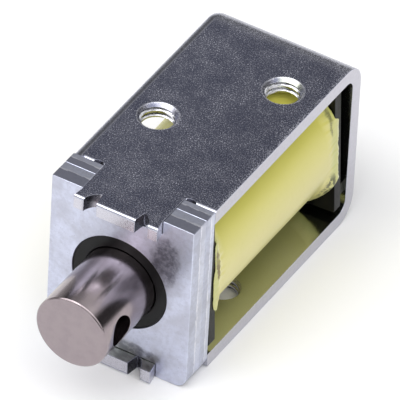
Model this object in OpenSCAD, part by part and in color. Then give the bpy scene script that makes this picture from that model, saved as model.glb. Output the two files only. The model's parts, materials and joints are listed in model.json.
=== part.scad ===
// Open-frame push-pull solenoid, in millimetres.
// A strip of plated steel, bent into a U, holds two stacked pole plates at its open end.
// The strip's tongues pass through the plates' notches and are split and spread to stake them.
// +Z is up and the plunger points to -Y. The origin is the centre of the bracket's bottom face.

/* [Bracket] */
// Width of the bracket strip
frame_w = 20; // [17:0.5:26]
// Length from the outer pole plate's face to the bracket's back
frame_l = 40; // [36:0.5:52]
// Height over the top and bottom sheets
frame_h = 24.8; // [23:0.2:32]
// Thickness of the strip
sheet_t = 2; // [1.4:0.1:2.4]
// Inside radius of the two bends
bend_r = 1.5; // [0.6:0.1:2]

/* [Tongues and stakes] */
// Width of the tongue that each sheet passes through the pole plates
tongue_w = 11.2; // [10:0.2:12]
// Length of the tongue in front of the outer pole plate
tongue_out = 1.7; // [1.2:0.1:2.4]
// Width of the middle part of the tongue, between its two stakes
stake_mid_w = 5.4; // [4.6:0.2:6.4]
// Width of each stake's cut at the tongue's front
stake_w = 1.8; // [1.2:0.1:2]
// Length of each stake's cut from the tongue's front
stake_l = 1.9; // [1.4:0.1:2.4]
// Radius of the stake's flank on the sliver's side
stake_r = 2.6; // [2:0.1:4]
// How far the stake's other flank leans over its length
stake_lean = 0.3; // [0.1:0.05:0.5]
// How far each outer sliver is spread outwards at its tip
stake_spread = 0.3; // [0.1:0.05:0.5]
// Radius of the relief in the corners behind the ears
relief_r = 0.9; // [0.6:0.1:1.2]
// How far the relief is cut behind the ears
relief_depth = 0.5; // [0.3:0.1:0.8]

/* [Tapped holes] */
// Wall diameter of the mounting holes, the tapping drill of an M5 thread
tap_d = 4.2; // [3.3:0.1:4.4]
// Diameter of the countersink at a hole's mouth
sink_d = 5.2; // [4.8:0.1:5.6]
// Depth of the countersink
sink_depth = 0.5; // [0.3:0.05:0.7]
// Distance of each hole from the middle of the strip
hole_x = 5.1; // [4:0.1:5.5]
// Distance of the first hole from the outer pole plate's face
hole_y = 16.6; // [12:0.2:18]
// Distance along the bracket between the two holes of a sheet
hole_pitch = 12.6; // [8:0.2:14]

/* [Pole plates] */
// Thickness of the outer pole plate
outer_plate_t = 3; // [2:0.1:3.6]
// Thickness of the inner pole plate
inner_plate_t = 2; // [1.4:0.1:3]
// Radius of the plates' two bottom corners
plate_corner_r = 1.8; // [0.8:0.1:2.4]

/* [Plunger] */
// Diameter of the plunger
plunger_d = 10; // [8:0.5:11]
// Length of plunger in front of the outer pole plate when it is fully out
plunger_out = 11.1; // [10:0.1:16]
// Travel from fully out to seated
stroke = 5; // [3:0.5:8]
// Diameter of the cross hole near the plunger's front end
cross_d = 4; // [2:0.1:4.5]
// Distance of the cross hole's axis from the front end
cross_y = 3.6; // [3:0.1:4.5]
// Chamfer round the plunger's two ends
plunger_chamfer = 0.2; // [0.1:0.05:0.6]

/* [Push rod] */
// Diameter of the push rod
rod_d = 3; // [2.4:0.1:3.5]
// Length of rod behind the bracket when the plunger is fully out
rod_out = 6; // [5:0.5:9]
// Length of rod pressed into the plunger
rod_grip = 8; // [5:0.5:10]
// Chamfer round the rod's free end
rod_chamfer = 0.35; // [0.2:0.05:0.6]
// Diameter at the bottom of the retaining ring's groove
groove_d = 2.3; // [1.8:0.1:2.3]
// Outside diameter of the retaining ring
ring_d = 6; // [5:0.1:7]
// Thickness of the retaining ring
ring_t = 0.6; // [0.4:0.1:0.8]
// Outside diameter of the rubber stop washer
stop_washer_d = 7; // [6.2:0.1:8]
// Thickness of the rubber stop washer
stop_washer_t = 0.8; // [0.5:0.1:1.2]

/* [Fixed core] */
// Length of the core in front of the bracket's back sheet
core_l = 16; // [10:0.5:18]
// Diameter of the core's shank in the back sheet
shank_d = 7; // [6:0.5:8]
// Diameter of the shank's riveted head
rivet_d = 8.4; // [8.2:0.1:9.6]
// Height of the riveted head
rivet_t = 0.4; // [0.3:0.05:0.7]
// Thickness of the non-magnetic residual washer
shim_t = 0.3; // [0.2:0.05:0.6]
// Width of the free space round the residual washer
shim_inset = 0.5; // [0.3:0.1:0.8]

/* [Bobbin and coil] */
// Wall of the bobbin's nose, which fills the plates' bore
nose_wall = 1.55; // [1.3:0.05:1.8]
// How far the nose lies behind the outer plate's face
nose_recess = 0.15; // [0:0.05:0.5]
// Wall of the bobbin's tube under the winding
tube_wall = 1.1; // [0.8:0.1:1.2]
// Thickness of the two flanges
flange_t = 1.5; // [1.2:0.1:2]
// Radius of the flanges' corners
flange_corner_r = 0.3; // [0.2:0.1:2]
// Turn of the bobbin about its axis, as it sits loose in the plates' bore, in degrees
bobbin_turn = 2.9; // [0:0.1:4]
// Depth of the lead chamber between the rear flange and the back sheet
lead_gap = 1.1; // [0.8:0.1:3]
// Height of the foot that spaces the rear flange from the back sheet
foot_h = 1.8; // [1.2:0.1:4]
// Width of the two slots for the lead wires in the rear flange
lead_slot_w = 1.8; // [1.2:0.1:2.4]
// Depth of the lead slots from the flange's side
lead_slot_depth = 2.6; // [2:0.1:3]
// Distance of each lead slot from the middle of the flange
lead_slot_z = 3.4; // [2:0.1:4]
// Thickness of the outer tape
tape_t = 0.3; // [0.2:0.05:0.5]

/* [Clearances] */
// Radial running clearance of the plunger in the bobbin
run_clear = 0.09; // [0.04:0.01:0.1]
// Radial running clearance of the rod in the core and its washers
rod_clear = 0.08; // [0.04:0.01:0.1]
// Clearance of parts that are assembled and stay together
fit_clear = 0.04; // [0.02:0.01:0.1]
// Gap left at each end of the stroke
seat_gap = 0.05; // [0.02:0.01:0.1]
// Distance of the coil from the open sides
coil_inset = 0.15; // [0.05:0.05:0.4]
// Distance of the flanges' corners from the open sides
flange_inset = 0.05; // [0.05:0.05:0.8]
// Gap between the flanges' corners and the top and bottom sheets
flange_gap = 0.1; // [0.05:0.05:0.4]
// Gap between the inner pole plate and the front flange
front_gap = 0.3; // [0.1:0.05:0.6]

/* [Hidden] */
$fn = 96;
cut = 1; // How far a cutter runs past the surface that it opens

front_y = -frame_l / 2;
back_y = frame_l / 2;
axis_z = frame_h / 2;
sheet_in_y = back_y - sheet_t;
inner_h = frame_h - 2 * sheet_t;
plates_t = outer_plate_t + inner_plate_t;

bobbin_id = plunger_d + 2 * run_clear;
nose_d = bobbin_id + 2 * nose_wall;
tube_d = bobbin_id + 2 * tube_wall;
// The turned flange just fits into flange_room, so its own sides come from both of the room's.
flange_room = [frame_w - 2 * flange_inset, inner_h - 2 * flange_gap];
flange_w = (flange_room[0] * cos(bobbin_turn) - flange_room[1] * sin(bobbin_turn)) / cos(2 * bobbin_turn);
flange_h = (flange_room[1] * cos(bobbin_turn) - flange_room[0] * sin(bobbin_turn)) / cos(2 * bobbin_turn);
front_flange_y = front_y + plates_t + front_gap;
rear_flange_y = sheet_in_y - lead_gap - flange_t;
nose_y = front_y + nose_recess;
nose_l = front_flange_y + flange_t / 2 - nose_y;
tube_l = sheet_in_y - front_flange_y - flange_t / 2;
foot_z = sheet_t + bend_r + flange_w / 2 * sin(bobbin_turn);
coil_y = front_flange_y + flange_t;
coil_l = rear_flange_y - coil_y;
coil_r = min(frame_w, inner_h) / 2 - coil_inset;

core_y = sheet_in_y - core_l;
shim_y = core_y - shim_t;
plunger_y = front_y - plunger_out;
plunger_l = shim_y - seat_gap - stroke - plunger_y;
rod_y = plunger_y + plunger_l - rod_grip;
rod_end_y = back_y + rod_out;
stop_washer_y = back_y + rivet_t + seat_gap;
ring_y = stop_washer_y + stop_washer_t;

// A cylinder along Y on the plunger's axis, from y to y + l.
module along_axis(y, l, d) {
    translate([0, y, axis_z]) rotate([-90, 0, 0]) cylinder(h = l, d = d);
}

// A cylinder along Y with a chamfer of c at its first end, its second end or both.
module chamfered_rod(y, l, d, c, first = true, second = true) {
    c1 = first ? c : 0;
    c2 = second ? c : 0;
    translate([0, y, axis_z]) rotate([-90, 0, 0]) rotate_extrude()
        polygon([[0, 0], [d / 2 - c1, 0], [d / 2, c1], [d / 2, l - c2], [d / 2 - c2, l], [0, l]]);
}

// A flat outline in X and Z, made t thick from y towards the back.
module upright(y, t) {
    translate([0, y + t, 0]) rotate([90, 0, 0]) linear_extrude(t) children();
}

// What rounding the corner at [0, 0] of a shape in the first quadrant takes away.
module corner_waste(r) {
    difference() {
        translate([-cut, -cut]) square(r + cut);
        translate([r, r]) circle(r);
    }
}

// A rectangle from [0, 0], whose right-hand corners are round.
module right_rounded(w, h, r) {
    difference() {
        square([w, h]);
        translate([w, 0]) mirror([1, 0]) corner_waste(r);
        translate([w, h]) rotate(180) corner_waste(r);
    }
}

// A rectangle with four round corners, centred.
module rounded_rect(w, h, r) {
    difference() {
        square([w, h], center = true);
        for (x = [0, 1], y = [0, 1]) mirror([x, 0]) mirror([0, y])
            translate([-w / 2, -h / 2]) corner_waste(r);
    }
}

// The bracket's side outline: a U that is open at its front.
module strip_outline() {
    translate([-tongue_out, 0]) difference() {
        right_rounded(frame_l + tongue_out, frame_h, bend_r + sheet_t);
        translate([-cut, sheet_t])
            right_rounded(frame_l + tongue_out - sheet_t + cut, inner_h, bend_r);
    }
}

// What is cut from a sheet on the +X side of its tongue, seen from above, with the outer plate's
// face at Y = 0: the corner for the plates' ear, its relief, and a side that leans outwards at the tip.
module ear_notch() {
    root = tongue_w / 2;
    tip = root + stake_spread;
    before = -tongue_out - cut;
    polygon([[root, plates_t], [root, 0], [tip, -tongue_out], [tip, before],
        [frame_w, before], [frame_w, plates_t]]);
    translate([root + relief_r, plates_t + relief_depth - relief_r]) circle(relief_r);
}

// The stake that splits a sliver from the tongue's middle part, on the +X side. Its flank on the
// sliver's side is an arc from the sliver's tip to the stake's point, and the other one is straight.
module stake() {
    mid = stake_mid_w / 2;
    tip = [mid + stake_w, -tongue_out];
    point = [mid + stake_lean, stake_l - tongue_out];
    chord = point - tip;
    outward = [chord[1], -chord[0]] / norm(chord);
    run = cut * stake_lean / stake_l;
    intersection() {
        translate((tip + point) / 2 - outward * sqrt(pow(stake_r, 2) - pow(norm(chord) / 2, 2)))
            circle(stake_r);
        polygon([[mid - run, tip[1] - cut], point + [run, cut], [frame_w, point[1] + cut],
            [frame_w, tip[1] - cut]]);
    }
}

// Everything that is cut from the front of each sheet.
module sheet_front_cut() {
    for (side = [0, 1]) mirror([side, 0]) {
        ear_notch();
        stake();
    }
}

// A tapped hole in a sheet whose outer face is at Z = 0, with the sheet below it.
module tapped_hole() {
    low = -sheet_t - cut;
    rotate_extrude() polygon([[0, low], [tap_d / 2, low], [tap_d / 2, -sink_depth],
        [sink_d / 2, 0], [sink_d / 2, cut], [0, cut]]);
}

// The two holes of the top sheet, which lie on a diagonal.
module sheet_holes() {
    translate([-hole_x, front_y + hole_y, frame_h]) tapped_hole();
    translate([hole_x, front_y + hole_y + hole_pitch, frame_h]) tapped_hole();
}

// Children, and a copy turned half a turn about the plunger's axis.
module both_sheets() {
    children();
    translate([0, 0, frame_h]) rotate([0, 180, 0]) children();
}

module frame_bracket() {
    color([0.55, 0.56, 0.6]) difference() {
        translate([-frame_w / 2, front_y, 0]) rotate([90, 0, 90])
            linear_extrude(frame_w) strip_outline();
        both_sheets() {
            translate([0, front_y, frame_h - sheet_t - cut / 2])
                linear_extrude(sheet_t + cut) sheet_front_cut();
            sheet_holes();
        }
        along_axis(sheet_in_y - cut, sheet_t + 2 * cut, shank_d + 2 * fit_clear);
    }
}

// The outline of both pole plates: a tall rectangle with sharp top corners and round bottom ones,
// notched for the tongues and bored for the bobbin's nose.
module plate_outline() {
    difference() {
        translate([-frame_w / 2, 0]) square([frame_w, frame_h]);
        for (side = [0, 1]) mirror([side, 0]) translate([-frame_w / 2, 0]) corner_waste(plate_corner_r);
        for (z = [-cut, frame_h - sheet_t - fit_clear])
            translate([-tongue_w / 2 - fit_clear, z])
                square([tongue_w + 2 * fit_clear, sheet_t + fit_clear + cut]);
        translate([0, axis_z]) circle(d = nose_d + 2 * fit_clear);
    }
}

module outer_pole_plate() {
    color([0.78, 0.79, 0.83]) upright(front_y, outer_plate_t) plate_outline();
}

module inner_pole_plate() {
    color([0.74, 0.75, 0.79]) upright(front_y + outer_plate_t, inner_plate_t) plate_outline();
}

// A bobbin flange. The rear one has two slots on its -X side for the lead wires.
module flange(y, with_slots) {
    upright(y, flange_t) translate([0, axis_z]) difference() {
        rounded_rect(flange_w, flange_h, flange_corner_r);
        if (with_slots) for (side = [-1, 1])
            translate([-flange_w / 2 - cut, side * lead_slot_z - lead_slot_w / 2])
                square([lead_slot_depth + cut, lead_slot_w]);
    }
}

// The foot that grows out of the rear flange, just above the lower bend, and rests on the back sheet.
module rear_foot() {
    w = flange_w - 2 * flange_corner_r;
    translate([-w / 2, rear_flange_y + flange_t / 2, foot_z])
        cube([w, lead_gap + flange_t / 2, foot_h]);
}

module bobbin() {
    color([0.07, 0.07, 0.08]) difference() {
        union() {
            along_axis(nose_y, nose_l, nose_d);
            along_axis(front_flange_y + flange_t / 2, tube_l, tube_d);
            translate([0, 0, axis_z]) rotate([0, -bobbin_turn, 0]) translate([0, 0, -axis_z]) {
                flange(front_flange_y, false);
                flange(rear_flange_y, true);
                rear_foot();
            }
        }
        along_axis(front_y - cut, frame_l, bobbin_id);
    }
}

// A ring on the plunger's axis, from y to y + l.
module ring(y, l, d_out, d_in) {
    difference() {
        along_axis(y, l, d_out);
        along_axis(y - cut, l + 2 * cut, d_in);
    }
}

module winding() {
    color([0.72, 0.38, 0.2])
        ring(coil_y, coil_l, 2 * (coil_r - tape_t - fit_clear), tube_d + 2 * fit_clear);
}

module coil_tape() {
    color([0.83, 0.81, 0.45]) ring(coil_y, coil_l, 2 * coil_r, 2 * (coil_r - tape_t));
}

module fixed_core() {
    color([0.6, 0.6, 0.62]) difference() {
        union() {
            along_axis(core_y, core_l, bobbin_id - 2 * fit_clear);
            along_axis(core_y, core_l + sheet_t, shank_d);
            translate([0, back_y, axis_z]) rotate([-90, 0, 0])
                cylinder(h = rivet_t, d1 = rivet_d, d2 = rivet_d - rivet_t);
        }
        along_axis(core_y - cut, core_l + sheet_t + rivet_t + 2 * cut, rod_d + 2 * rod_clear);
    }
}

module residual_washer() {
    color([0.8, 0.68, 0.36])
        ring(shim_y, shim_t, bobbin_id - 2 * shim_inset, rod_d + 2 * shim_inset);
}

module plunger() {
    color([0.66, 0.61, 0.6]) difference() {
        chamfered_rod(plunger_y, plunger_l, plunger_d, plunger_chamfer);
        translate([-plunger_d, plunger_y + cross_y, axis_z]) rotate([0, 90, 0])
            cylinder(h = 2 * plunger_d, d = cross_d);
        along_axis(rod_y, rod_grip + cut, rod_d + 2 * fit_clear);
    }
}

module push_rod() {
    color([0.7, 0.7, 0.72]) difference() {
        chamfered_rod(rod_y, rod_end_y - rod_y, rod_d, rod_chamfer, first = false);
        ring(ring_y - fit_clear, ring_t + 2 * fit_clear, 2 * rod_d, groove_d);
    }
}

module stop_washer() {
    color([0.12, 0.12, 0.12]) ring(stop_washer_y, stop_washer_t, stop_washer_d, rod_d + 2 * rod_clear);
}

// An E-shaped ring: three lugs reach into the rod's groove, and its mouth points down.
module retaining_ring() {
    rim_w = (ring_d - rod_d) / 4;
    grip_d = groove_d + 2 * fit_clear;
    color([0.3, 0.31, 0.33]) upright(ring_y, ring_t) translate([0, axis_z]) difference() {
        circle(d = ring_d);
        difference() {
            circle(d = ring_d - 2 * rim_w);
            for (turn = [90, 210, 330]) rotate(turn) translate([0, -rim_w / 2]) square([ring_d / 2, rim_w]);
        }
        circle(d = grip_d);
        translate([-grip_d / 2, -ring_d]) square([grip_d, ring_d]);
    }
}

frame_bracket();
outer_pole_plate();
inner_pole_plate();
bobbin();
winding();
coil_tape();
fixed_core();
residual_washer();
plunger();
push_rod();
stop_washer();
retaining_ring();
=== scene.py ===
"""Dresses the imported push-pull solenoid. Everything is in metres, in the row frame."""

import json
import math

import bpy
import numpy as np
from mathutils import Matrix, Vector, noise


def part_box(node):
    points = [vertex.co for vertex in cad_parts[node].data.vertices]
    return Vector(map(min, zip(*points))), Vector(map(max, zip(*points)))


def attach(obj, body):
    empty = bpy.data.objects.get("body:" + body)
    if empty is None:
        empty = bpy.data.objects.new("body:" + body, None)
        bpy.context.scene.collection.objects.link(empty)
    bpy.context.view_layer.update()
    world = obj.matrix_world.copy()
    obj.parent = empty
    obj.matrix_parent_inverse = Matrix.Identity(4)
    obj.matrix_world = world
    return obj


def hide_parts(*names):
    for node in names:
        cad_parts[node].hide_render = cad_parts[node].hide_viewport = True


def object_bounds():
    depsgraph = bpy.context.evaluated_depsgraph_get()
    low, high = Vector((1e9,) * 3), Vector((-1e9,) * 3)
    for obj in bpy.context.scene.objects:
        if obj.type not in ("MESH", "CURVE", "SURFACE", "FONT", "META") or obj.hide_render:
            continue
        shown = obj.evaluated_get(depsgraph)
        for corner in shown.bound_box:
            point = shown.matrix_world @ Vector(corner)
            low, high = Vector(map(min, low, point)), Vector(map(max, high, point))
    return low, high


MM = 0.001
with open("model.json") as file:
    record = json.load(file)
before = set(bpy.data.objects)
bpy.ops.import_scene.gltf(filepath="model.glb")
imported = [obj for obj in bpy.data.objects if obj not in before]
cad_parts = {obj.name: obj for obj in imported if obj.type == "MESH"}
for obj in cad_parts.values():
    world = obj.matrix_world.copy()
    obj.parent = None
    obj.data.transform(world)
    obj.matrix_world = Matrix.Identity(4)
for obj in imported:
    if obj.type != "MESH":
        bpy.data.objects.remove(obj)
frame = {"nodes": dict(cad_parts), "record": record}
cad_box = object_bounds()
nodes = frame["nodes"]
record = frame["record"]
scene = bpy.context.scene


# ---------------------------------------------------------------- camera
def place_camera():
    azimuth, elevation, roll = math.radians(28.953), math.radians(40.349), math.radians(3.212)
    distance, aim_x, aim_y, px_per_mm = 1234.6, 9.79, 9.983, 8.272
    a, e = azimuth, elevation
    back = Vector((math.sin(a) * math.cos(e), -math.cos(a) * math.cos(e), math.sin(e)))
    side = Vector((math.cos(a), math.sin(a), 0))
    up = back.cross(side)
    right = side * math.cos(roll) + up * math.sin(roll)
    top = up * math.cos(roll) - side * math.sin(roll)
    low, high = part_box("frame_bracket")
    plate_low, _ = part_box("outer_pole_plate")
    start = Vector((0, plate_low.y, (low.z + high.z) / 2))
    spot = start + MM * (aim_x * right + aim_y * top + distance * back)
    data = bpy.data.cameras.new("camera")
    data.sensor_width = 36
    data.lens = px_per_mm * distance * 36 / 400
    camera = bpy.data.objects.new("camera", data)
    scene.collection.objects.link(camera)
    turn = Matrix((right, top, back)).transposed().to_4x4()
    camera.matrix_world = Matrix.Translation(spot) @ turn
    scene.camera = camera


place_camera()
scene.view_settings.view_transform = "Standard"


# ---------------------------------------------------------------- node helpers
def srgb(r, g, b):
    """A colour given as it looks on screen, 0 to 255, as the linear colour that a shader takes."""
    def one(v):
        v /= 255
        return v / 12.92 if v <= 0.04045 else ((v + 0.055) / 1.055) ** 2.4
    return (one(r), one(g), one(b), 1)


class Shader:
    """A Principled material with short calls for the nodes that this scene uses."""

    def __init__(self, name, colour, metallic, roughness, **fixed):
        self.mat = bpy.data.materials.new(name)
        self.mat.use_nodes = True
        self.tree = self.mat.node_tree
        self.bsdf = self.tree.nodes["Principled BSDF"]
        self.bsdf.inputs["Base Color"].default_value = colour
        self.bsdf.inputs["Metallic"].default_value = metallic
        self.bsdf.inputs["Roughness"].default_value = roughness
        for socket, value in fixed.items():
            self.bsdf.inputs[socket.replace("_", " ")].default_value = value
        self.coords = self.tree.nodes.new("ShaderNodeTexCoord")
        self.diffuse = colour

    def put(self, kind, values=None, **props):
        n = self.tree.nodes.new("ShaderNode" + kind)
        for k, v in props.items():
            setattr(n, k, v)
        for k, v in (values or {}).items():
            if isinstance(v, bpy.types.NodeSocket):
                self.tree.links.new(v, n.inputs[k])
            else:
                n.inputs[k].default_value = v
        return n

    def place(self, size_mm, stretch=(1, 1, 1), shift=(0, 0, 0)):
        """Object coordinates in units of size_mm, with each axis stretched by its factor."""
        scale = [1000 / size_mm / s for s in stretch]
        return self.put("Mapping", {"Vector": self.coords.outputs["Object"], "Location": shift,
                                    "Scale": scale}).outputs[0]

    def noise(self, size_mm, detail=2.0, rough=0.5, stretch=(1, 1, 1), shift=(0, 0, 0)):
        return self.put("TexNoise", {"Vector": self.place(size_mm, stretch, shift), "Scale": 1.0,
                                     "Detail": detail, "Roughness": rough}).outputs["Fac"]

    def ramp(self, fac, low, high, from_=0.0, to=1.0, smooth=True):
        """fac from low to high becomes from_ to to, and stays there outside that range."""
        return self.put("MapRange", {"Value": fac, "From Min": low, "From Max": high,
                                     "To Min": from_, "To Max": to},
                        interpolation_type="SMOOTHSTEP" if smooth else "LINEAR").outputs[0]

    def math(self, kind, a, b=0.0, c=0.0):
        return self.put("Math", {0: a, 1: b, 2: c}, operation=kind).outputs[0]

    def mix(self, fac, a, b):
        return self.put("Mix", {0: fac, 6: a, 7: b}, data_type="RGBA").outputs[2]

    def xyz(self, name="Object"):
        return self.put("SeparateXYZ", {0: self.coords.outputs[name]}).outputs

    def bump(self, height, depth_um, strength=1.0, under=None):
        values = {"Height": height, "Distance": depth_um * 1e-6, "Strength": strength}
        if under is not None:
            values["Normal"] = under
        return self.put("Bump", values).outputs[0]

    def link(self, **sockets):
        for socket, value in sockets.items():
            self.tree.links.new(value, self.bsdf.inputs[socket.replace("_", " ")])
        return self.mat


def between(s, value, low, high, soft):
    """1 where value is between low and high, with soft ends."""
    return s.math("MULTIPLY", s.ramp(value, low - soft, low + soft), s.ramp(value, high - soft, high + soft, 1, 0))


# ---------------------------------------------------------------- materials
def zinc_sheet():
    """Plated strip. Outside, a dark blue-grey ground with bright specks of grain, painted shade towards its +X side,
    and a painted highlight with wear near the rear bend. Inside, a smooth skin with a painted pale green reflection
    of the tape.
    The cut sides are plain and paler, the staked notches are torn and dark, and each tapped hole has a burr ring
    painted paler as a highlight."""
    s = Shader("zinc_sheet", srgb(150, 152, 166), 1.0, 0.3)
    low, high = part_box("frame_bracket")
    mid_z = (low.z + high.z) / 2
    place, axes = s.xyz(), s.xyz("Normal")
    grain = s.noise(0.16, 2.0, 0.7)
    fine = s.noise(0.09, 1.0, 0.5)
    patch = s.noise(2.6, 4.0, 0.65)
    worn = s.noise(0.5, 4.0, 0.7, (1, 1, 1), (7, 2, 5))
    across = s.math("DIVIDE", s.math("SUBTRACT", place["X"], low.x), high.x - low.x)
    cut_side = s.ramp(s.math("ABSOLUTE", axes["X"]), 0.55, 0.85)
    from_axis = s.math("SUBTRACT", place["Z"], mid_z)
    outward = s.math("MULTIPLY", axes["Z"], s.math("SIGN", from_axis))
    outer = s.math("MAXIMUM", s.ramp(outward, 0.1, 0.5), s.ramp(axes["Y"], 0.1, 0.5))
    inner = s.math("MAXIMUM", s.ramp(outward, -0.7, -0.4, 1, 0),
                   s.math("MULTIPLY", s.ramp(axes["Y"], -0.7, -0.4, 1, 0), s.ramp(place["Y"], 0, 10 * MM)))
    # More specks gather along the sharp +X edge, where the punch left its burr.
    burr_side = s.math("MULTIPLY", s.ramp(across, 0.962, 0.992, 0, 0.09), s.ramp(worn, 0.35, 0.6))
    speck = s.ramp(s.math("ADD", s.math("ADD", grain, s.math("MULTIPLY", fine, 0.35)), burr_side), 0.73, 0.86)
    speck = s.math("MULTIPLY", speck, s.ramp(patch, 0.3, 0.7, 0.55, 1.0))
    ground = s.mix(s.ramp(patch, 0.3, 0.7), srgb(112, 115, 136), srgb(138, 140, 158))
    ground = s.mix(s.ramp(grain, 0.3, 0.55, 0.45, 0), ground, srgb(84, 87, 108))
    # Painted shade: the outer face darkens across the strip's width towards its +X side.
    ground = s.mix(s.ramp(across, 0.2, 1.0, 0, 0.42), ground, srgb(88, 90, 108))
    # Near the rear bend the strip turns paler: a painted highlight on the bend, broken up by worn streaks.
    bend = s.ramp(place["Y"], high.y - 4.6 * MM, high.y - 2.2 * MM)
    bend_sheen_and_wear = s.math("MULTIPLY", bend, s.ramp(worn, 0.3, 0.6, 0.45, 1))
    ground = s.mix(bend_sheen_and_wear, ground, srgb(186, 187, 198))
    colour = s.mix(s.math("MULTIPLY", speck, outer), ground, srgb(235, 236, 246))
    # Painted reflection: the inner faces take a pale green-grey for the yellow tape mirrored in them, over a smooth
    # skin.
    colour = s.mix(s.math("MULTIPLY", inner, 0.9), colour, srgb(196, 200, 186))
    colour = s.mix(cut_side, colour, s.mix(s.ramp(worn, 0.3, 0.7), srgb(200, 199, 208), srgb(192, 191, 199)))
    # The faces that look forward, at the ends of the strip and of the tongues, are cut too.
    front_cut = s.math("MULTIPLY", s.ramp(axes["Y"], -0.8, -0.5, 1, 0), s.ramp(place["Y"], 0, 2 * MM, 1, 0))
    colour = s.mix(front_cut, colour, srgb(206, 205, 214))
    torn = s.math("MULTIPLY", torn_notch(s, place, low, high), s.ramp(s.math("ABSOLUTE", axes["Z"]), 0.5, 0.8, 1, 0))
    torn = s.math("MULTIPLY", torn, s.math("SUBTRACT", 1.0, s.math("MULTIPLY", front_cut, 0.8)))
    colour = s.mix(torn, colour, s.mix(s.ramp(grain, 0.4, 0.6), srgb(34, 34, 40), srgb(96, 97, 106)))
    # Round each tapped hole a burr ring: bumped, and painted paler as a highlight on its lip.
    burr_highlight_rings = None
    for m in record["mounts"]:
        if m["kind"] == "threaded_hole":
            x, y, z = m["pos_m"]
            face = high.z if z > mid_z else low.z
            dx = s.math("POWER", s.math("SUBTRACT", place["X"], x), 2.0)
            dy = s.math("POWER", s.math("SUBTRACT", place["Y"], y), 2.0)
            away = s.math("SQRT", s.math("ADD", dx, dy))
            ring = s.math("MULTIPLY", between(s, away, 2.5 * MM, 2.72 * MM, 0.07 * MM),
                          between(s, place["Z"], face - 0.3 * MM, face + 0.3 * MM, 0.05 * MM))
            burr_highlight_rings = ring if burr_highlight_rings is None else s.math("MAXIMUM", burr_highlight_rings, ring)
    burr_highlight_rings = s.math("MULTIPLY", burr_highlight_rings, s.ramp(grain, 0.35, 0.6, 0.25, 1.0))
    colour = s.mix(s.math("MULTIPLY", burr_highlight_rings, 0.75), colour, srgb(226, 227, 238))
    rough = s.math("ADD", s.ramp(grain, 0.35, 0.65, 0.24, 0.32), s.math("MULTIPLY", s.math("MULTIPLY", speck, outer), 0.3))
    rough = s.math("SUBTRACT", rough, s.math("MULTIPLY", inner, 0.12))
    rough = s.math("ADD", rough, s.math("MULTIPLY", cut_side, 0.06))
    tooth = s.math("ADD", s.math("MULTIPLY", grain, outer), s.math("MULTIPLY", s.math("ADD", torn, burr_highlight_rings), fine))
    tooth = s.math("ADD", tooth, s.math("MULTIPLY", s.math("MULTIPLY", bend_sheen_and_wear, worn), 0.8))
    height = s.math("ADD", tooth, s.math("MULTIPLY", worn, 0.2))
    return s.link(Base_Color=colour, Roughness=rough, Normal=s.bump(height, 13))


def torn_notch(s, place, low, high):
    """1 in the V notches that were driven into the tongues' ends."""
    side = s.math("ABSOLUTE", place["X"])
    in_x = between(s, side, 2.62 * MM, 4.75 * MM, 0.06 * MM)
    return s.math("MULTIPLY", in_x, s.ramp(place["Y"], low.y + 1.9 * MM, low.y + 2.1 * MM, 1, 0))


def zinc_edge():
    """The rolled-over edges of the strip, where the plating is smooth and handling has polished it."""
    s = Shader("zinc_edge", srgb(186, 188, 202), 1.0, 0.24)
    nick = s.noise(0.4, 3.0, 0.6)
    cloud = s.noise(2.2, 3.0, 0.6)
    colour = s.mix(s.ramp(nick, 0.4, 0.75, 0, 0.5), srgb(184, 186, 200), srgb(160, 162, 178))
    colour = s.mix(s.ramp(cloud, 0.35, 0.7, 0, 0.5), colour, srgb(206, 207, 218))
    return s.link(Base_Color=colour, Roughness=s.ramp(nick, 0.3, 0.7, 0.2, 0.3), Normal=s.bump(nick, 5))


def thread_steel():
    """The cut flanks of the threads: bright, with fine tool marks round the hole."""
    s = Shader("thread_steel", srgb(214, 215, 220), 1.0, 0.2)
    marks = s.noise(0.5, 3.0, 0.6, (1, 1, 0.12))
    chips = s.noise(0.3, 3.0, 0.7)
    colour = s.mix(s.ramp(marks, 0.4, 0.65), srgb(222, 223, 228), srgb(150, 150, 156))
    colour = s.mix(s.ramp(chips, 0.6, 0.75, 0, 0.7), colour, srgb(82, 82, 86))
    return s.link(Base_Color=colour, Roughness=s.ramp(marks, 0.3, 0.7, 0.14, 0.28), Normal=s.bump(marks, 8))


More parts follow.
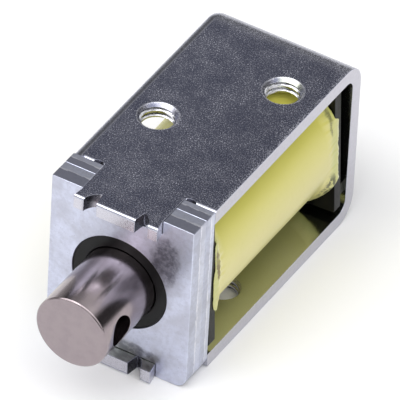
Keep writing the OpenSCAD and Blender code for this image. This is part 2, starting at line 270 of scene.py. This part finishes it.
def plate_zinc(node):
    """A pole plate: smoother and paler than the strip, with fine dark pits, soft dark patches of painted reflection
    and painted shadow on its face, and the burnished and torn bands of blanking on its cut sides, with a painted
    highlight line between them and painted shade on the torn band where it faces up."""
    s = Shader("zinc_" + node, srgb(206, 208, 220), 1.0, 0.34)
    low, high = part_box(node)
    place, axes = s.xyz(), s.xyz("Normal")
    cut = s.ramp(s.math("ABSOLUTE", axes["Y"]), 0.35, 0.6, 1, 0)
    upward = s.ramp(axes["Z"], 0.4, 0.7)
    pits = s.noise(0.22, 2.0, 0.6)
    mottle = s.noise(0.55, 3.0, 0.65)
    cloud = s.noise(3.0, 4.0, 0.6)
    colour = s.mix(s.ramp(cloud, 0.35, 0.7), srgb(208, 212, 230), srgb(192, 194, 208))
    colour = s.mix(s.ramp(mottle, 0.4, 0.68, 0, 0.35), colour, srgb(176, 178, 194))
    colour = s.mix(s.ramp(pits, 0.66, 0.78, 0, 0.8), colour, srgb(112, 113, 128))
    share = s.math("DIVIDE", s.math("SUBTRACT", place["Y"], low.y), high.y - low.y)
    share = s.math("ADD", share, s.ramp(s.noise(1.2, 3.0, 0.6, (1, 0.2, 1)), 0.3, 0.7, -0.05, 0.05))
    torn = s.math("MULTIPLY", s.ramp(share, 0.52, 0.58, 1, 0), cut)
    # line: a painted highlight, a thin white line along each cut side between the torn and the burnished band.
    line = s.math("MULTIPLY", between(s, share, 0.55, 0.62, 0.02), cut)
    # The torn band darkens a little on every cut side; painted shade makes it much darker where it faces up.
    dark = s.math("MULTIPLY", torn, s.math("ADD", s.math("MULTIPLY", upward, 0.55), 0.12))
    colour = s.mix(dark, colour, srgb(96, 97, 112))
    colour = s.mix(s.math("MULTIPLY", line, 0.6), colour, srgb(240, 240, 248))
    # Painted reflection: a soft dark patch on the face, up and to the right of the bore.
    dark_reflection_patch = painted_dark_patch(s, place, 6.2 * MM, 6.3 * MM, 2.1 * MM, 3.6 * MM)
    # Painted shadow: a soft dark band on the face just above the lower tongue.
    under = painted_dark_patch(s, place, 1.6 * MM, -9.6 * MM, 5.0 * MM, 1.1 * MM)
    # Both painted patches together, broken up by the mottle and kept off the cut sides.
    marks = s.math("MULTIPLY", s.math("MAXIMUM", dark_reflection_patch, s.math("MULTIPLY", under, 0.9)),
                   s.ramp(mottle, 0.3, 0.6, 0.55, 1.0))
    marks = s.math("MULTIPLY", marks, s.math("SUBTRACT", 1.0, cut))
    colour = s.mix(s.math("MULTIPLY", marks, 0.8), colour, srgb(92, 92, 104))
    rough = s.math("ADD", s.ramp(cloud, 0.3, 0.7, 0.30, 0.40), s.math("MULTIPLY", torn, 0.12))
    height = s.math("SUBTRACT", mottle, s.ramp(pits, 0.64, 0.78, 0, 0.7))
    return s.link(Base_Color=colour, Roughness=rough, Normal=s.bump(height, 12))


def painted_dark_patch(s, place, x, z, half_w, half_h):
    """A soft round patch of painted shade on the front plate at x and z from the plunger's axis."""
    low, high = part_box("frame_bracket")
    dx = s.math("DIVIDE", s.math("SUBTRACT", place["X"], x), half_w)
    dz = s.math("DIVIDE", s.math("SUBTRACT", place["Z"], (low.z + high.z) / 2 + z), half_h)
    away = s.math("ADD", s.math("POWER", dx, 2.0), s.math("POWER", dz, 2.0))
    away = s.math("ADD", away, s.ramp(s.noise(1.4, 3.0, 0.6), 0.3, 0.7, -0.35, 0.35, False))
    return s.ramp(away, 0.3, 1.3, 1, 0)


def nickel(name="nickel", along=(1, 18, 1)):
    """Bright nickel over a turned bar: faint streaks along the stroke, and a softly mottled end."""
    s = Shader(name, srgb(158, 147, 150), 1.0, 0.17)
    streak = s.noise(0.35, 2.0, 0.5, along)
    mottle = s.noise(1.4, 3.0, 0.55)
    speck = s.noise(0.16, 2.0, 0.6)
    colour = s.mix(s.ramp(mottle, 0.35, 0.7), srgb(160, 149, 152), srgb(154, 143, 147))
    colour = s.mix(s.ramp(streak, 0.45, 0.75, 0, 0.12), colour, srgb(140, 131, 133))
    colour = s.mix(s.ramp(speck, 0.72, 0.8, 0, 0.3), colour, srgb(110, 104, 104))
    rough = s.math("ADD", s.ramp(streak, 0.3, 0.7, 0.15, 0.19), s.ramp(mottle, 0.3, 0.7, 0.0, 0.04))
    height = s.math("ADD", s.math("MULTIPLY", streak, 0.2), s.math("MULTIPLY", speck, 0.2))
    return s.link(Base_Color=colour, Roughness=rough, Normal=s.bump(height, 2))


def plain_steel(name, dark, light, grain_mm, rough, depth=8):
    s = Shader(name, light, 1.0, rough)
    grain = s.noise(grain_mm, 3.0, 0.6)
    cloud = s.noise(grain_mm * 9, 3.0, 0.6)
    colour = s.mix(s.ramp(grain, 0.35, 0.68), dark, light)
    colour = s.mix(s.ramp(cloud, 0.45, 0.75, 0, 0.4), colour, dark)
    return s.link(Base_Color=colour, Roughness=s.ramp(cloud, 0.3, 0.7, rough - 0.05, rough + 0.08),
                  Normal=s.bump(grain, depth))


def black_nylon():
    """Moulded glass-filled nylon: near black, a fine orange-peel skin with paler glass flecks."""
    s = Shader("black_nylon", srgb(12, 12, 13), 0.0, 0.36)
    s.bsdf.inputs["Specular IOR Level"].default_value = 0.22
    skin = s.noise(0.3, 3.0, 0.6)
    fleck = s.noise(0.12, 1.0, 0.5)
    cloud = s.noise(2.5, 3.0, 0.6)
    colour = s.mix(s.ramp(cloud, 0.35, 0.7), srgb(8, 8, 9), srgb(16, 16, 18))
    colour = s.mix(s.ramp(fleck, 0.7, 0.8, 0, 0.3), colour, srgb(48, 48, 50))
    return s.link(Base_Color=colour, Roughness=s.ramp(skin, 0.3, 0.7, 0.3, 0.42), Normal=s.bump(skin, 5))


def tape_film(start_y, end_y, axis_z):
    """Yellow polyester film: painted shade makes it deeper in colour towards the top sheet. Pale lips and white
    crease lines at the ends, painted shade in dark wrinkles on the rear lip, and a brown gap under the front lip's
    fold."""
    s = Shader("tape_film", srgb(216, 209, 140), 0.0, 0.38, Coat_Weight=0.15, Coat_Roughness=0.3)
    place, axes = s.xyz(), s.xyz("Normal")
    rag = s.noise(0.9, 3.0, 0.6)
    wobble = s.ramp(rag, 0.3, 0.7, -0.16 * MM, 0.16 * MM, False)
    front = s.math("ADD", s.math("SUBTRACT", place["Y"], start_y), wobble)
    rear = s.math("ADD", s.math("SUBTRACT", end_y, place["Y"]), wobble)
    height = s.math("SUBTRACT", place["Z"], axis_z)
    cloud = s.noise(6.0, 2.0, 0.5)
    grain = s.noise(0.6, 3.0, 0.6)
    colour = s.mix(s.ramp(cloud, 0.35, 0.7), srgb(218, 210, 140), srgb(222, 214, 150))
    # Painted shade: the film turns deeper yellow where it faces up, towards the top sheet.
    colour = s.mix(s.ramp(axes["Z"], -0.1, 0.75), colour, srgb(210, 204, 92))
    colour = s.mix(s.ramp(grain, 0.5, 0.8, 0, 0.2), colour, srgb(204, 198, 110))
    # Both ends turn paler and greener where the film stands off the winding.
    stands = s.math("MAXIMUM", s.ramp(front, 0.2 * MM, 1.1 * MM, 1, 0), s.ramp(rear, 0.3 * MM, 1.5 * MM, 1, 0))
    colour = s.mix(s.math("MULTIPLY", stands, 0.55), colour, srgb(186, 192, 118))
    # Painted shade in the wrinkles: dark round the lower end of the rear lip, and as a thin line near its top.
    low_end = s.math("MULTIPLY", between(s, height, -6.6 * MM, -2.9 * MM, 0.9 * MM),
                     between(s, rear, 0.05 * MM, 1.3 * MM, 0.25 * MM))
    high_end = s.math("MULTIPLY", between(s, height, 3.4 * MM, 8.5 * MM, 0.7 * MM),
                      between(s, rear, 0.62 * MM, 0.95 * MM, 0.12 * MM))
    crinkle = s.noise(0.75, 3.0, 0.65, (0.7, 1, 1.6), (3, 1, 2))
    dark = s.math("MAXIMUM", s.math("MULTIPLY", low_end, s.ramp(crinkle, 0.4, 0.52)),
                  s.math("MULTIPLY", high_end, s.ramp(crinkle, 0.35, 0.55, 0.3, 0.8)))
    colour = s.mix(s.math("MULTIPLY", dark, 0.85), colour, srgb(58, 60, 34))
    # The front lip's fold: a brown lens with a white crease round its rear side, and a fainter one behind it.
    fold_y = s.math("DIVIDE", s.math("SUBTRACT", front, 0.55 * MM), 0.42 * MM)
    fold_z = s.math("DIVIDE", s.math("SUBTRACT", height, 2.1 * MM), 2.6 * MM)
    fold = s.math("SQRT", s.math("ADD", s.math("POWER", fold_y, 2.0), s.math("POWER", fold_z, 2.0)))
    lens = s.ramp(fold, 0.7, 1.05, 1, 0)
    right = s.ramp(place["X"], 0, 2 * MM)
    lens = s.math("MULTIPLY", s.math("MULTIPLY", lens, right), s.ramp(crinkle, 0.3, 0.6, 0.55, 1))
    colour = s.mix(s.math("MULTIPLY", lens, 0.9), colour, srgb(112, 92, 58))
    near = s.math("MULTIPLY", between(s, fold, 1.12, 1.3, 0.09), s.ramp(fold_y, -0.1, 0.3))
    far = s.math("MULTIPLY", between(s, fold, 1.75, 1.86, 0.08), s.ramp(fold_y, 0.3, 0.8))
    ends = s.math("MAXIMUM", s.ramp(front, -0.02 * MM, 0.08 * MM, 0, 0), s.ramp(rear, -0.62 * MM, -0.45 * MM, 1, 0))
    white = s.math("MAXIMUM", s.math("MULTIPLY", s.math("MAXIMUM", near, s.math("MULTIPLY", far, 0.45)), right), ends)
    white = s.math("MULTIPLY", white, s.ramp(rag, 0.35, 0.55, 0.3, 1))
    colour = s.mix(s.math("MULTIPLY", white, 0.8), colour, srgb(240, 240, 214))
    folds = s.math("SUBTRACT", s.math("MULTIPLY", near, 1.2), s.math("ADD", lens, s.math("MULTIPLY", dark, 0.8)))
    height = s.math("ADD", s.math("ADD", s.noise(2.4, 2.0, 0.5, (1, 3, 1)), s.math("MULTIPLY", stands, rag)), folds)
    return s.link(Base_Color=colour, Roughness=s.ramp(cloud, 0.3, 0.7, 0.32, 0.46), Normal=s.bump(height, 22))


def copper():
    """Enamelled wire, wound in close turns."""
    s = Shader("copper_wire", srgb(196, 118, 74), 1.0, 0.3, Coat_Weight=0.6, Coat_Roughness=0.12)
    turns = s.put("TexWave", {"Vector": s.place(1.0), "Scale": 1 / 0.25 / 2, "Distortion": 0.4,
                              "Detail": 1.0, "Detail Scale": 1.0},
                  wave_type="BANDS", bands_direction="Y", wave_profile="SIN").outputs["Fac"]
    colour = s.mix(turns, srgb(120, 62, 34), srgb(214, 134, 84))
    return s.link(Base_Color=colour, Roughness=s.ramp(s.noise(0.6), 0.3, 0.7, 0.24, 0.38),
                  Normal=s.bump(turns, 60))


def rubber():
    s = Shader("black_rubber", srgb(30, 30, 31), 0.0, 0.7)
    skin = s.noise(0.2, 3.0, 0.6)
    dust = s.noise(1.2, 4.0, 0.7)
    colour = s.mix(s.ramp(dust, 0.45, 0.75), srgb(24, 24, 25), srgb(58, 57, 55))
    return s.link(Base_Color=colour, Roughness=s.ramp(skin, 0.3, 0.7, 0.6, 0.8), Normal=s.bump(skin, 15))


# ---------------------------------------------------------------- CAD nodes: edges and threads
def thread_cutter(name, x, y, z_low, z_high, pitch, bore_r):
    """A closed helical ridge that cuts one thread groove into a tapped hole."""
    steps, turns = 48, (z_high - z_low) / pitch + 1.4
    count = int(steps * turns)
    inner, outer, half, tip = bore_r - 0.1 * MM, bore_r + 0.36 * MM, 0.44 * pitch, 0.07 * pitch
    profile = [(inner, -half), (outer, -tip), (outer, tip), (inner, half)]
    verts, faces = [], []
    for i in range(count + 1):
        angle = 2 * math.pi * i / steps
        z = z_low - 0.7 * pitch + pitch * i / steps
        for r, dz in profile:
            verts.append((x + r * math.cos(angle), y + r * math.sin(angle), z + dz))
    for i in range(count):
        for k in range(4):
            a, b = i * 4 + k, i * 4 + (k + 1) % 4
            faces.append((a, a + 4, b + 4, b))
    faces.append((0, 1, 2, 3))
    faces.append(tuple(count * 4 + k for k in (3, 2, 1, 0)))
    return hidden_cutter(name, verts, faces, 2)


def hidden_cutter(name, verts, faces, material):
    """A closed solid that only cuts. Its faces leave the material with this number behind."""
    mesh = bpy.data.meshes.new(name)
    mesh.from_pydata(verts, [], faces)
    mesh.polygons.foreach_set("material_index", [material] * len(faces))
    cutter = bpy.data.objects.new(name, mesh)
    scene.collection.objects.link(cutter)
    cutter.hide_render = True
    cutter.hide_viewport = True
    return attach(cutter, "housing")


def rolled_section(width, depth, over, steps=10):
    """The waste beside a rolled edge, as (across, up) from the sharp corner: across the face, up from it."""
    arc = [(width * (1 - math.cos(t)), depth * (math.sin(t) * 1.02 - 1))
           for t in np.linspace(math.pi / 2, 0, steps)]
    return arc + [(-over, -depth), (-over, over), (width, over)]


def sweep(section, path):
    """A closed solid along a path of (corner, across, up), with the section drawn in across and up."""
    verts, faces, n = [], [], len(section)
    for corner, across, up in path:
        verts += [corner + across * a + up * b for a, b in section]
    for i in range(len(path) - 1):
        for k in range(n):
            a, b = i * n + k, i * n + (k + 1) % n
            faces.append((a, a + n, b + n, b))
    last = (len(path) - 1) * n
    faces.append(tuple(range(n)))
    faces.append(tuple(last + k for k in reversed(range(n))))
    return verts, faces


def facing_out(verts, faces):
    """The same faces, turned so that the solid's volume is positive."""
    volume = sum(verts[f[0]].dot(verts[f[k]].cross(verts[f[k + 1]])) for f in faces for k in range(1, len(f) - 1))
    return faces if volume > 0 else [tuple(reversed(f)) for f in faces]


def rolled_cutters():
    """The die rolled the strip's outer face down along its -X side, its shoulders and its tongues' ends."""
    low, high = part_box("frame_bracket")
    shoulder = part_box("inner_pole_plate")[1].y
    bend = 3.5 * MM
    x, y, z = Vector((1, 0, 0)), Vector((0, 1, 0)), Vector((0, 0, 1))
    path = [(Vector((low.x, shoulder - 0.5 * MM, high.z)), x, z)]
    for t in np.linspace(math.pi / 2, -math.pi / 2, 61):
        up = y * math.cos(t) + z * math.sin(t)
        centre = Vector((low.x, high.y - bend, high.z - bend if t > 0 else low.z + bend))
        path.append((centre + up * bend, x, up))
        if abs(t) < 1e-6:
            path[-1] = (Vector((low.x, high.y, high.z - bend)), x, y)
            path.append((Vector((low.x, high.y, low.z + bend)), x, y))
    path.append((Vector((low.x, shoulder - 0.5 * MM, low.z)), x, -z))
    verts, faces = sweep(rolled_section(1.35 * MM, 0.5 * MM, 0.3 * MM), path)
    long_edge = hidden_cutter("cutter_long_edge", verts, facing_out(verts, faces), 1)
    verts, faces = [], []
    for up, face_z in ((z, high.z), (-z, low.z)):
        for x0, x1, edge_y, width, depth in (
                (-5.9, 5.9, low.y, 0.45, 0.4), (5.75, 10.4, shoulder, 0.5, 0.4), (-8.6, -5.75, shoulder, 0.5, 0.4)):
            path = [(Vector((v * MM, edge_y, face_z)), y, up) for v in (x0, x1)]
            more, sides = sweep(rolled_section(width * MM, depth * MM, 0.3 * MM), path)
            start = len(verts)
            faces += [tuple(start + k for k in f) for f in facing_out(more, sides)]
            verts += more
    return [hidden_cutter("cutter_front_edges", verts, faces, 1), long_edge]


def dress(name, materials, edge_mm=0.0, segments=3, cutters=(), above_deg=30):
    """Gives a CAD node its materials, and rounds its edges with modifiers only."""
    o = nodes[name]
    o.data.materials.clear()
    for m in materials:
        o.data.materials.append(m)
    if edge_mm:
        weld = o.modifiers.new("weld", "WELD")
        weld.merge_threshold = 2e-6
        flat = o.modifiers.new("flat", "DECIMATE")
        flat.decimate_type = "DISSOLVE"
        flat.angle_limit = math.radians(0.5)
        edge = o.modifiers.new("edge", "BEVEL")
        edge.width = edge_mm * MM
        edge.segments = segments
        edge.limit_method = "ANGLE"
        edge.angle_limit = math.radians(above_deg)
        edge.use_clamp_overlap = False
        edge.material = 1 if len(materials) > 1 else -1
        edge.miter_outer = "MITER_ARC"
    for cutter in cutters:
        cut = o.modifiers.new(cutter.name, "BOOLEAN")
        cut.operation = "DIFFERENCE"
        cut.solver = "EXACT"
        cut.material_mode = "INDEX"
        cut.object = cutter
    if edge_mm:
        split = o.modifiers.new("split", "EDGE_SPLIT")
        split.split_angle = math.radians(32)
        split.use_edge_sharp = False
        shade = o.modifiers.new("shade", "WEIGHTED_NORMAL")
        shade.weight = 80


def thread_cutters():
    low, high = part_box("frame_bracket")
    found = []
    for m in record["mounts"]:
        if m["kind"] != "threaded_hole":
            continue
        x, y, z = m["pos_m"]
        top = z > (low.z + high.z) / 2
        z0, z1 = (high.z - 2 * MM, high.z) if top else (low.z, low.z + 2 * MM)
        found.append(thread_cutter("cutter_" + m["name"], x, y, z0, z1, 0.8 * MM, m["dims"]["r_mm"] * MM))
    return found


# ---------------------------------------------------------------- the tape
def flange_shape():
    """The bobbin's flanges as the CAD has them: half width, half height, turn, and their faces' y values."""
    low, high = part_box("frame_bracket")
    axis_z = (low.z + high.z) / 2
    points = [nodes["bobbin"].matrix_world @ v.co for v in nodes["bobbin"].data.vertices]
    corners = [(p.x, p.z - axis_z, p.y) for p in points if math.hypot(p.x, p.z - axis_z) > 13 * MM]
    upper = [math.atan2(z, x) for x, z, _ in corners if x > 0 and z > 0]
    lower = [math.atan2(z, x) for x, z, _ in corners if x > 0 and z < 0]
    turn = (sum(upper) / len(upper) + sum(lower) / len(lower)) / 2
    half_w = max(x * math.cos(turn) + z * math.sin(turn) for x, z, _ in corners)
    half_h = max(z * math.cos(turn) - x * math.sin(turn) for x, z, _ in corners)
    faces_y = sorted({round(y, 5) for _, _, y in corners})
    return half_w, half_h, turn, faces_y


def ease(t):
    t = min(1.0, max(0.0, t))
    return t * t * (3 - 2 * t)


def tape_skin():
    """The tape as a closed skin. Its ends flare out to the flanges, and lie over the flanges' straight sides
    as wavy lips."""
    low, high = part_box("coil_tape")
    inner_low, inner_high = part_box("frame_bracket")
    half_w, half_h, turn, faces_y = flange_shape()
    start_y, end_y = faces_y[1], faces_y[2]
    axis_z, radius = (low.z + high.z) / 2, (high.z - low.z) / 2
    around, thick, span = 640, 0.09 * MM, end_y - start_y
    room_x, room_z = inner_high.x - 0.03 * MM, (inner_high.z - inner_low.z) / 2 - 2.07 * MM
    flare = 2.3 * MM

    def wave(angle, seed, size):
        return noise.noise(Vector((math.cos(angle) * size, math.sin(angle) * size, seed)))

    def lip(angle, rear):
        """How far the lip reaches past the flange's inner face, and its radius there."""
        a = angle - turn
        flat = (half_w + 0.15 * MM + 0.05 * MM * wave(angle, 2.2 + rear, 9)) / max(1e-6, abs(math.cos(a)))
        widest = min(10.95 * MM, room_x / max(1e-6, abs(math.cos(angle))), room_z / max(1e-6, abs(math.sin(angle))))
        over = ease((11.0 * MM - flat) / (0.35 * MM))
        ragged = 0.13 * MM * wave(angle, 1.7 + 7 * rear, 6) + 0.08 * MM * wave(angle, 5.5 + rear, 24)
        height = math.degrees(math.remainder(angle, 2 * math.pi))
        if rear:
            lap = 0.68 * MM
        else:
            lap = (0.1 + 0.45 * ease((12 - height) / 16)) * MM
        reach = over * (lap + ragged) - (1 - over) * (0.14 * MM + abs(ragged))
        return reach, min(flat, widest)

    ends = [-1.0, -0.94, -0.8, -0.6, -0.4, -0.2, 0.0] + [i / 26 for i in range(1, 27)]
    middle = np.linspace(0, 1, 24)[1:-1]
    verts, faces = [], []
    lips = [[lip(2 * math.pi * i / around, rear) for i in range(around)] for rear in (0, 1)]
    rows = [(0, t) for t in ends] + [(None, t) for t in middle] + [(1, t) for t in reversed(ends)]
    for shell in (0, 1):
        for rear, t in rows:
            for i in range(around):
                angle = 2 * math.pi * i / around
                if rear is None:
                    y = start_y + flare * 1.3 + t * (span - 2.6 * flare)
                    r, wrinkle = radius, 0.0
                else:
                    reach, lip_r = lips[rear][i]
                    inward = flare * 1.3 * t if t > 0 else 0.0
                    inward = max(inward, -reach) if reach < 0 else inward
                    past = -t * reach if t < 0 and reach > 0 else 0.0
                    near = ease(1 - inward / flare)
                    y = start_y + inward - past if not rear else end_y - inward + past
                    r = radius + (lip_r - radius) * near
                    wrinkle = near * (1 - near) * 0.32 * MM * wave(angle, 3.3 + 4 * rear + 0.5 * t, 17)
                    wrinkle += near * 0.05 * MM * wave(angle, 8.8 + rear, 30)
                    if past:
                        wrinkle = 0.02 * MM * wave(angle, 8.8 + rear, 30)
                r += wrinkle - 0.02 * MM * (1 + wave(angle, 3.1 + 0.2 * (y / MM), 4))
                r = min(r, room_x / max(1e-6, abs(math.cos(angle))), room_z / max(1e-6, abs(math.sin(angle))))
                r -= shell * thick
                verts.append((r * math.cos(angle), y, axis_z + r * math.sin(angle)))
    n = len(rows)
    for shell in (0, 1):
        base = shell * n * around
        for k in range(n - 1):
            for i in range(around):
                j = (i + 1) % around
                quad = (base + k * around + i, base + (k + 1) * around + i,
                        base + (k + 1) * around + j, base + k * around + j)
                faces.append(quad if shell == 0 else quad[::-1])
    inner = n * around
    for i in range(around):
        j = (i + 1) % around
        faces.append((i, j, inner + j, inner + i))
        last = (n - 1) * around
        faces.append((last + j, last + i, inner + last + i, inner + last + j))
    mesh = bpy.data.meshes.new("tape_skin")
    mesh.from_pydata(verts, [], faces)
    mesh.polygons.foreach_set("use_smooth", [True] * len(faces))
    mesh.materials.append(tape_film(start_y, end_y, axis_z))
    skin = bpy.data.objects.new("tape_skin", mesh)
    scene.collection.objects.link(skin)
    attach(skin, "housing")
    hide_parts("coil_tape")
    return skin


dress("frame_bracket", [zinc_sheet(), zinc_edge(), thread_steel()], 0.06, 2, rolled_cutters() + thread_cutters(), 65)
dress("outer_pole_plate", [plate_zinc("outer_pole_plate")], 0.12, 3)
dress("inner_pole_plate", [plate_zinc("inner_pole_plate")], 0.12, 3)
dress("bobbin", [black_nylon()], 0.1, 2)
dress("winding", [copper()])
dress("plunger", [nickel()], 0.06, 2)
dress("push_rod", [nickel("rod_steel", (1, 10, 1))], 0.04, 2)
dress("fixed_core", [plain_steel("core_steel", srgb(140, 142, 150), srgb(196, 198, 206), 0.3, 0.36)], 0.08, 2)
dress("residual_washer", [plain_steel("brass_shim", srgb(170, 136, 70), srgb(214, 184, 110), 0.25, 0.3)], 0.03, 2)
dress("retaining_ring", [plain_steel("ring_steel", srgb(60, 60, 66), srgb(96, 97, 104), 0.2, 0.42)], 0.05, 2)
dress("stop_washer", [rubber()], 0.08, 3)
tape_skin()


# ---------------------------------------------------------------- floor and light
def floor():
    low, _ = cad_box
    mesh = bpy.data.meshes.new("floor")
    r, z = 6.0, low.z - 0.02 * MM
    ring = [(r * math.cos(t), r * math.sin(t), z) for t in np.linspace(0, 2 * math.pi, 65)[:-1]]
    mesh.from_pydata(ring, [], [tuple(range(64))])
    s = Shader("floor_paper", (0.93, 0.93, 0.935, 1), 0.0, 0.8)
    s.bsdf.inputs["Specular IOR Level"].default_value = 0.1
    mesh.materials.append(s.link(Base_Color=s.mix(s.noise(30, 2.0), (0.93, 0.93, 0.935, 1), (0.94, 0.94, 0.94, 1))))
    o = bpy.data.objects.new("floor", mesh)
    scene.collection.objects.link(o)


def sun(name, direction, strength, angle_deg, colour=(1, 1, 1)):
    data = bpy.data.lights.new(name, "SUN")
    data.energy, data.angle, data.color = strength, math.radians(angle_deg), colour
    o = bpy.data.objects.new(name, data)
    scene.collection.objects.link(o)
    o.rotation_euler = Vector(direction).to_track_quat("Z", "Y").to_euler()


def studio_world():
    """A dim room with one broad softbox behind the table, for the metal to mirror."""
    world = bpy.data.worlds.new("studio")
    world.use_nodes = True
    scene.world = world
    tree = world.node_tree

    def put(kind, values, **props):
        n = tree.nodes.new("ShaderNode" + kind)
        for k, v in props.items():
            setattr(n, k, v)
        for k, v in values.items():
            if isinstance(v, bpy.types.NodeSocket):
                tree.links.new(v, n.inputs[k])
            else:
                n.inputs[k].default_value = v
        return n

    towards = put("SeparateXYZ", {0: tree.nodes.new("ShaderNodeTexCoord").outputs["Generated"]}, ).outputs
    # How bright the room is by the angle about Y: the floor, a dark wall on the right, a long softbox
    # overhead, a dim wall on the left.
    angle = put("Math", {0: towards["Z"], 1: towards["X"]}, operation="ARCTAN2").outputs[0]
    share = put("MapRange", {"Value": angle, "From Min": 0.0, "From Max": math.pi}).outputs[0]
    ramp = tree.nodes.new("ShaderNodeValToRGB")
    stops = [(0.0, 0.25), (0.05, 0.05), (0.2, 0.05), (0.25, 0.4), (0.29, 1.0), (0.35, 1.15), (0.43, 0.85),
             (0.53, 0.8), (0.6, 0.44), (0.69, 0.36), (0.76, 0.08), (0.83, 0.1), (0.88, 0.35), (0.98, 0.55)]
    while len(ramp.color_ramp.elements) < len(stops):
        ramp.color_ramp.elements.new(0.5)
    for element, (at, level) in zip(ramp.color_ramp.elements, stops):
        element.position = at
        element.color = (level, level, level, 1)
    tree.links.new(share, ramp.inputs[0])
    base = put("MapRange", {"Value": towards["Z"], "From Min": -0.02, "From Max": 0.02},
               interpolation_type="SMOOTHSTEP").outputs[0]
    lit = put("Mix", {0: base, 6: (0.95, 0.95, 0.95, 1), 7: ramp.outputs[0]}, data_type="RGBA").outputs[2]
    tree.links.new(lit, tree.nodes["Background"].inputs["Color"])


floor()
studio_world()
sun("key", (-0.5, -0.55, 0.75), 1.3, 50)
sun("fill", (0.8, -0.35, 0.6), 0.85, 60)
sun("top", (0.0, -0.4, 0.92), 0.9, 50)
